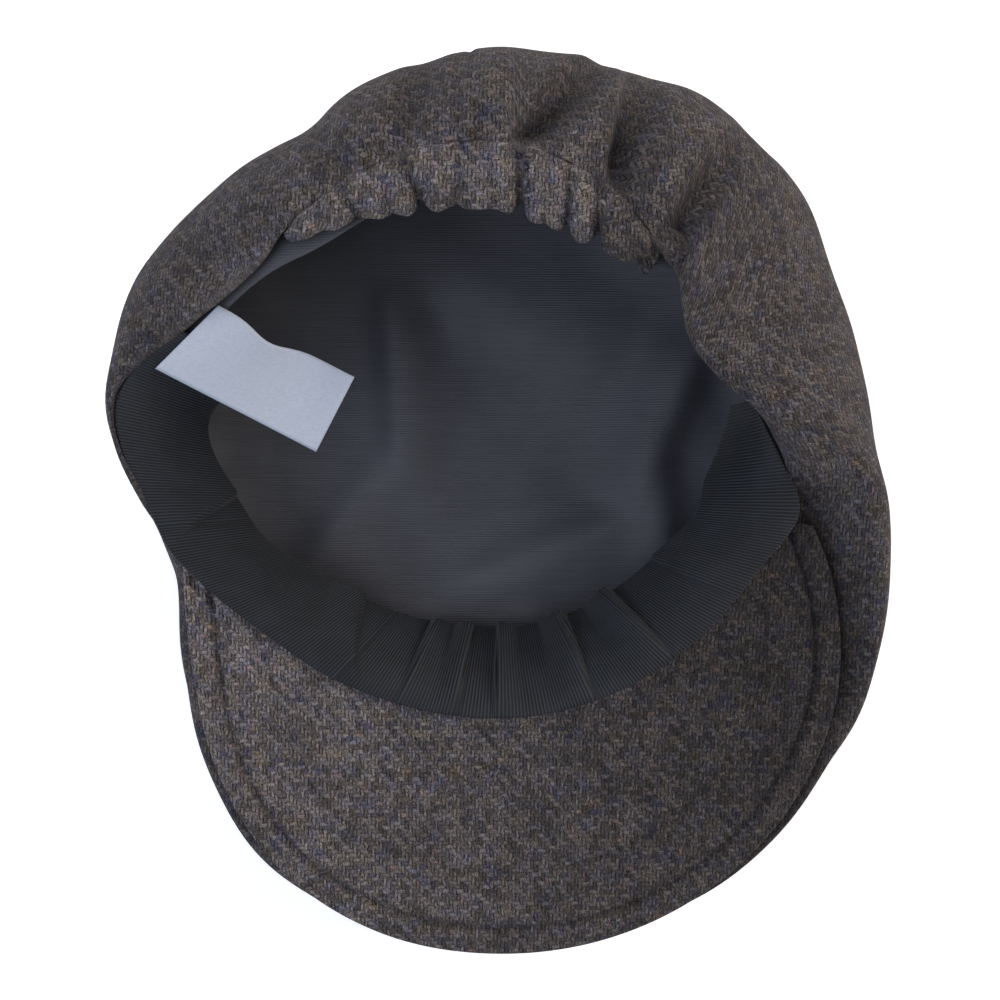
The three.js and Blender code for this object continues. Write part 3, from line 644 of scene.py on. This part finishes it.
# Painted light on the ribs and painted shade in the hollows, with patchy wear
rib_light_and_wear = add(tree, "Math", {0: rim_light_and_ribbon_wear.outputs[0], 1: 0.6, 2: -0.3}, operation="MULTIPLY_ADD")
rib_light_and_wear = add(tree, "Math", [rib, rib_light_and_wear], operation="ADD")
ribbon_colour = add(tree, "ValToRGB", [rib_light_and_wear], stops=[(0.0, "#0a0b0d"), (1.0, "#2c3037")])
bump = add(tree, "Bump", {"Height": rib, "Distance": 0.0003, "Strength": 0.8})
surface = add(
    tree, "BsdfPrincipled",
    {
        "Base Color": ribbon_colour.outputs[0], "Roughness": 0.62, "Specular IOR Level": 0.35, "Normal": bump,
        "Sheen Weight": 0.1, "Sheen Roughness": 0.4,
    },
)
add(tree, "OutputMaterial", [surface])

bearings = np.linspace(SWEATBAND_FROM, SWEATBAND_TO, SWEATBAND_COLUMNS)
share = np.linspace(0, 1, SWEATBAND_ROWS)[:, None]
rim_reach, rim_height = opening(bearings)
on_peak = in_front(bearings, 0)
inset, drop = read(SWEATBAND, bearings)
start = rim_reach - SIDE_INSET + (SWEATBAND_OVERLAP + SIDE_INSET) * on_peak
above = (PEAK_THICKNESS + RIBBON) / 2 + CLEARANCE
top = rim_height - SIDE_DROP + (above + SIDE_DROP) * on_peak
lift = np.zeros((SWEATBAND_ROWS, SWEATBAND_COLUMNS))
for free, sewn, slope, size, step_side in TUCKS:
    past = (bearings - (sewn + (free - sewn) * share)) * step_side
    lift += size * share**0.8 * np.where(past < 0, dent(past / slope, 0.7), dent(past / TUCK_STEP, 1))
height = top - drop * share**RIBBON_BOW + lift
middle = place(bearings, start - inset * share - TUCK_LEAN * lift, height)
side_of = normals(middle, False) * RIBBON / 2
sweatband = cloth("sweatband_ribbon", middle + side_of, middle - side_of, grosgrain, guide=8)
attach(sweatband, "root")
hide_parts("sweatband")

# Lining
# A loose bag of thin charcoal cloth inside the crown, caught along the opening and nowhere else. It
# sags on to the crown in broad soft folds, and hangs in pleats where the sides are slack.

LINING_COLUMNS = 360
LINING_DOWN = 40
LINING_UNDER = 34
LINING_FLAT = 26
LINING = 0.8
LINING_FALL = 5
LINING_INSET = 4
LINING_INSET_AT_ROLL = 1
UNDER_CASING = 3
ROLL_PULL = 8
LINING_STANDOFF = 6.4
LINING_SIDE = 0.8
LINING_LEAST_FALL = 8
LINING_FOOT_INSET = 2
LINING_FRONT_FOOT = 12
LINING_FLOOR = 3.9
TOP_PULL, TURN_PULL, FOOT_PULL = 0.35, 0.35, 0.45
BEHIND_FROM, BEHIND_RISES, BEHIND_FADES = 128, 14, 24
PLEAT_RUN = 1.6
FOLD_IN, FOLD_UP = 0.8, 0.6
BAG_SLACK = 0.4
RIDGES_FROM, RIDGES_RISE = 0.35, 0.25
# Hanging folds: bearing, half width, lift
LINING_FOLDS = [(228, 9, 3), (248, 8, 3), (268, 8, 2.5), (150, 10, 2.5), (175, 9, 2.5)]
# Pleats: bearing at the opening, bearing at the foot, half width to the left, to the right, lift
PLEATS = [(218, 262, 14, 1.6, 3.4), (236, 262, 5, 2.5, 2.6), (262, 258, 5, 3, 2.6), (200, 203, 5, 5, 1.6)]
# Soft ridges of the sagging cloth: from x, y, to x, y (mm from the axis), half width on the left hand
# and on the right hand, height
RIDGES = [
    (54, 36, 45, 13, 10, 18, 7.5), (45, 13, 47, -8, 10, 18, 7.0), (-31, 46, -29, 16, 16, 9, 6.5),
    (-29, 16, -50, -12, 14, 12, 4.5), (-2, -22, 30, -10, 12, 16, 5.5), (4, 56, 16, 50, 18, 18, 4.0),
    (-30, -34, 4, -36, 12, 12, 3.0),
]

# Charcoal lining twill: very fine, smooth and faintly slubbed, with a soft blue-grey gloss on its folds.
CORD = 0.72
lining_twill = bpy.data.materials.new("lining_twill")
lining_twill.use_nodes = True
tree = lining_twill.node_tree
tree.nodes.clear()
spots = add(tree, "TexCoord")
stretched = add(tree, "VectorMath", [spots.outputs["Object"], (60.0, 2200.0, 60.0)], operation="MULTIPLY")
slubs = add(tree, "TexNoise", {"Vector": stretched, "Scale": 1.0, "Detail": 3.0})
weave_lines = add(
    tree, "VectorMath", [spots.outputs["Object"], (2600.0, 2600.0, 2600.0)], operation="MULTIPLY"
)
grain = add(tree, "TexNoise", {"Vector": weave_lines, "Scale": 1.0, "Detail": 1.0})
blotch = add(tree, "TexNoise", {"Vector": spots.outputs["Object"], "Scale": 26.0, "Detail": 3.0})
shade = add(tree, "Math", {0: slubs.outputs[0], 1: 0.5, 2: blotch.outputs[0]}, operation="MULTIPLY_ADD")
shade = add(tree, "Math", [shade, 0.25], operation="SUBTRACT")
spot = add(tree, "SeparateXYZ", [spots.outputs["Object"]])
cords_a_metre = 2 * math.pi / (CORD * MM)
cord_turn = {0: spot.outputs[1], 1: cords_a_metre, 2: slubs.outputs[0]}
cord = add(tree, "Math", cord_turn, operation="MULTIPLY_ADD")
cord = add(tree, "Math", [cord], operation="SINE")
facing = add(tree, "SeparateXYZ", [spots.outputs["Normal"]])
facing = add(tree, "Math", [facing.outputs[2], 6.0], operation="POWER")
cord = add(tree, "Math", [cord, facing], operation="MULTIPLY")
shade = add(tree, "Math", {0: cord, 1: 0.16, 2: shade}, operation="MULTIPLY_ADD")
lining_colour = add(tree, "ValToRGB", [shade], stops=[(0.2, "#3b3c42"), (0.8, "#505259")])
fine = add(tree, "Math", [slubs.outputs[0], grain.outputs[0]], operation="ADD")
fine = add(tree, "Math", {0: cord, 1: 0.5, 2: fine}, operation="MULTIPLY_ADD")
bump = add(tree, "Bump", {"Height": fine, "Distance": 0.00012, "Strength": 0.6})
surface = add(
    tree, "BsdfPrincipled",
    {
        "Base Color": lining_colour.outputs[0], "Roughness": 0.6, "Specular IOR Level": 0.35, "Normal": bump,
        "Sheen Weight": 0.15, "Sheen Roughness": 0.35, "Sheen Tint": linear("#c3cbe0"),
    },
)
add(tree, "OutputMaterial", [surface])

bearings = np.arange(LINING_COLUMNS) * 360 / LINING_COLUMNS
rim_reach, rim_height = opening(bearings)
_, _, pull_out, _, _, side_reach, side_height, foot_reach, _ = read(CROWN, bearings)
on_peak = in_front(bearings, 0)
inset = LINING_INSET + (LINING_INSET_AT_ROLL - LINING_INSET) * rise(-pull_out / ROLL_PULL)
start_reach = rim_reach - (inset + (LINING_INSET - inset) * on_peak)
behind = rise((bearings - BEHIND_FROM) / BEHIND_RISES) * rise((CASING_TO - bearings) / BEHIND_FADES)
start_reach = start_reach + (LINING_INSET + UNDER_CASING) * behind
start_height = rim_height - LINING_FALL
roomy = side_reach - LINING_STANDOFF
bag_reach = roomy + (start_reach + 1 - roomy) * on_peak
bag_height = np.minimum(side_height * LINING_SIDE, start_height - LINING_LEAST_FALL)
front_foot = np.minimum(start_reach, foot_reach) - LINING_FRONT_FOOT
bag_foot = foot_reach - LINING_FOOT_INSET
bag_foot = bag_foot + (front_foot - bag_foot) * on_peak
t = np.linspace(0, 1, LINING_DOWN + 1)[:, None]
down_reach = bezier(start_reach, start_reach + TOP_PULL * (bag_reach - start_reach), bag_reach, bag_reach, t)
down_height = bezier(start_height, start_height - 1, (bag_height + start_height) / 2, bag_height, t)
t = np.linspace(0, 1, LINING_UNDER + 1)[1:, None]
under_reach = bezier(bag_reach, bag_reach, bag_foot + FOOT_PULL * (bag_reach - bag_foot), bag_foot, t)
turned = LINING_FLOOR + TURN_PULL * (bag_height - LINING_FLOOR)
under_height = bezier(bag_height, turned, LINING_FLOOR, LINING_FLOOR, t)
flat = np.linspace(1, 0, LINING_FLAT + 1)[1:, None]
reach = np.concatenate([down_reach, under_reach, bag_foot * flat])
height = np.concatenate([down_height, under_height, LINING_FLOOR + 0 * bag_foot * flat])
along = np.linspace(0, 1, len(reach))[:, None]
sway = np.sin(np.pi * along) * rise((0.8 - along) / 0.35)
fold = np.zeros(reach.shape)
for middle, half_width, lift in LINING_FOLDS:
    fold += lift * sway * dent((bearings - middle) / half_width, 1)
for at_rim, at_foot, left_width, right_width, lift in PLEATS:
    away = bearings - at_rim - (at_foot - at_rim) * along
    away = away / np.where(away > 0, left_width, right_width)
    fold += lift * np.sin(np.pi * np.clip(along * PLEAT_RUN, 0, 1)) * dent(away, FOLD_SHARPNESS)
bag = place(bearings, reach - FOLD_IN * fold, height + FOLD_UP * fold)
flat_x, flat_y = bag[..., 0] - AXIS[0], bag[..., 1] - AXIS[1]
raised = np.zeros(reach.shape)
for x0, y0, x1, y1, left_width, right_width, size in RIDGES:
    length = math.hypot(x1 - x0, y1 - y0)
    ahead = ((flat_x - x0) * (x1 - x0) + (flat_y - y0) * (y1 - y0)) / length
    beside = ((flat_x - x0) * (y1 - y0) - (flat_y - y0) * (x1 - x0)) / length
    past_end = np.maximum(np.maximum(-ahead, ahead - length), 0)
    half_width = np.where(beside > 0, right_width, left_width)
    away = np.hypot(beside / half_width, past_end / (left_width + right_width))
    raised += (size * np.exp(-2 * away**2)) ** 3
raised = np.cbrt(raised) + BAG_SLACK * np.sin(flat_x / 7 + 1) * np.sin(flat_y / 6 + flat_x / 23)
bag[..., 2] += raised * rise((along - RIDGES_FROM) / RIDGES_RISE)
low = along[:, 0] > 0.5
bag[..., 2][low] = np.maximum(bag[..., 2][low], LINING_FLOOR)
bag[-1] = bag[-1].mean(axis=0)
outer_bag = bag + normals(bag, True) * LINING
outer_bag[-1] = bag[-1] - [0, 0, LINING]
lining = cloth("lining_bag", bag, outer_bag, lining_twill, ring=True, pole=True, guide=LINING_DOWN)
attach(lining, "root")
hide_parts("lining")

# Care label
# A bare strip of white satin tape, 22.5 mm wide, caught under the rim at the left. It lies across the
# hollow, stiff enough to stand out, with a slight wave where it was folded.

LABEL_BEARING = 242.5
LABEL_WIDTH = 22.5
LABEL_LENGTH = 43
LABEL_SKEW = 7
LABEL_HEADING = math.radians(117.6)
LABEL_DROP = 9
LABEL_INSET = 4
LABEL_RISE = 1.25
LABEL = 0.5
LABEL_ROWS, LABEL_COLUMNS = 48, 24
WAVE, TWIST = 1.6, 2.0
PINCH, PINCH_AT, PINCH_WIDTH = 2.4, 0.4, 0.16

# White satin tape: close and smooth, bluish in the shade, with a low gloss.
label_satin = bpy.data.materials.new("white_satin_tape")
label_satin.use_nodes = True
tree = label_satin.node_tree
tree.nodes.clear()
spots = add(tree, "TexCoord")
stretched = add(tree, "VectorMath", [spots.outputs["Object"], (900.0, 4000.0, 900.0)], operation="MULTIPLY")
floats = add(tree, "TexNoise", {"Vector": stretched, "Scale": 1.0, "Detail": 2.0})
label_colour = add(
    tree, "ValToRGB", [floats.outputs[0]], stops=[(0.2, "#a2abba"), (0.8, "#b6becb")]
)
bump = add(tree, "Bump", {"Height": floats.outputs[0], "Distance": 0.00005, "Strength": 0.5})
surface = add(
    tree, "BsdfPrincipled",
    {"Base Color": label_colour.outputs[0], "Roughness": 0.45, "Specular IOR Level": 0.4, "Normal": bump},
)
add(tree, "OutputMaterial", [surface])

rim_reach, rim_height = opening(np.array(LABEL_BEARING))
root = place(np.array(LABEL_BEARING), rim_reach - LABEL_INSET, rim_height + LABEL_RISE)
share = np.linspace(0, 1, LABEL_ROWS)[:, None]
across = np.linspace(-0.5, 0.5, LABEL_COLUMNS)[None, :]
run = np.array([math.sin(LABEL_HEADING), math.cos(LABEL_HEADING), 0])
side = np.array([-run[1], run[0], 0])
ahead = LABEL_LENGTH * share + LABEL_SKEW * across * (1 - share)
wave = WAVE * np.sin(2 * np.pi * share * 1.15 + 0.6) * share + TWIST * across * np.sin(7 * share)
pinch = PINCH * np.exp(-(((share - PINCH_AT) / PINCH_WIDTH) ** 2)) * (across + 0.5)
middle = root + ahead[..., None] * run + (LABEL_WIDTH * across - pinch)[..., None] * side
middle[..., 2] += -LABEL_DROP * rise(share) + wave
side_of = normals(middle, False) * LABEL / 2
label = cloth("care_label_tape", middle + side_of, middle - side_of, label_satin, guide=10)
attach(label, "root")
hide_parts("care_label")

# Stage
# A plain pale floor and soft studio light from four panels: left, right, back and above. The camera looks
# straight down from 560 mm.

HALF_FLOOR = 40.0

floor_mesh = bpy.data.meshes.new("floor")
floor_corners = [(x * HALF_FLOOR, y * HALF_FLOOR, 0) for x, y in ((-1, -1), (1, -1), (1, 1), (-1, 1))]
floor_mesh.from_pydata(floor_corners, [], [(0, 1, 2, 3)])
floor = bpy.data.objects.new("floor", floor_mesh)
bpy.context.scene.collection.objects.link(floor)
paper = bpy.data.materials.new("white_paper")
paper.use_nodes = True
surface = paper.node_tree.nodes["Principled BSDF"]
surface.inputs["Base Color"].default_value = linear("#f6f6f6")
surface.inputs["Roughness"].default_value = 0.9
surface.inputs["Emission Color"].default_value = linear("#ffffff")
surface.inputs["Emission Strength"].default_value = 0.5
floor_mesh.materials.append(paper)

world = bpy.data.worlds.new("studio")
bpy.context.scene.world = world
world.use_nodes = True
sky = world.node_tree.nodes["Background"]
sky.inputs["Color"].default_value = linear("#eef1f6")
sky.inputs["Strength"].default_value = 0.2

LIT_POINT = (0, 0, 0.03)
# name, place, size, watts, colour
for name, spot, size, power, colour in [
    ("left", (-0.6, -0.25, 0.75), 0.6, 3.5, "#e0e9ff"),
    ("right", (0.9, 0.1, 0.6), 0.6, 6.0, "#fff5ec"),
    ("back", (0.0, 0.9, 0.6), 0.6, 3.0, "#fff8f2"),
    ("above", (-0.1, 0.0, 1.2), 0.6, 3.0, "#f4f7ff"),
]:
    lamp = bpy.data.lights.new(name, "AREA")
    lamp.size = size
    lamp.energy = power
    lamp.color = linear(colour)[:3]
    holder = bpy.data.objects.new(name, lamp)
    holder.location = spot
    aim = np.array(LIT_POINT) - np.array(spot)
    holder.rotation_euler = (
        math.atan2(math.hypot(aim[0], aim[1]), -aim[2]), 0, math.atan2(aim[1], aim[0]) - math.pi / 2
    )
    bpy.context.scene.collection.objects.link(holder)

CAMERA_HEIGHT = 0.560
HALF_PICTURE, LENS_LENGTH = 500, 1872
VIEW_ANGLE = 2 * math.atan(HALF_PICTURE / LENS_LENGTH)
lens = bpy.data.cameras.new("camera")
lens.sensor_fit = "HORIZONTAL"
lens.angle = VIEW_ANGLE
camera = bpy.data.objects.new("camera", lens)
camera.location = (AXIS[0] * MM, AXIS[1] * MM, CAMERA_HEIGHT)
bpy.context.scene.collection.objects.link(camera)
bpy.context.scene.camera = camera
bpy.context.scene.view_settings.view_transform = "Standard"
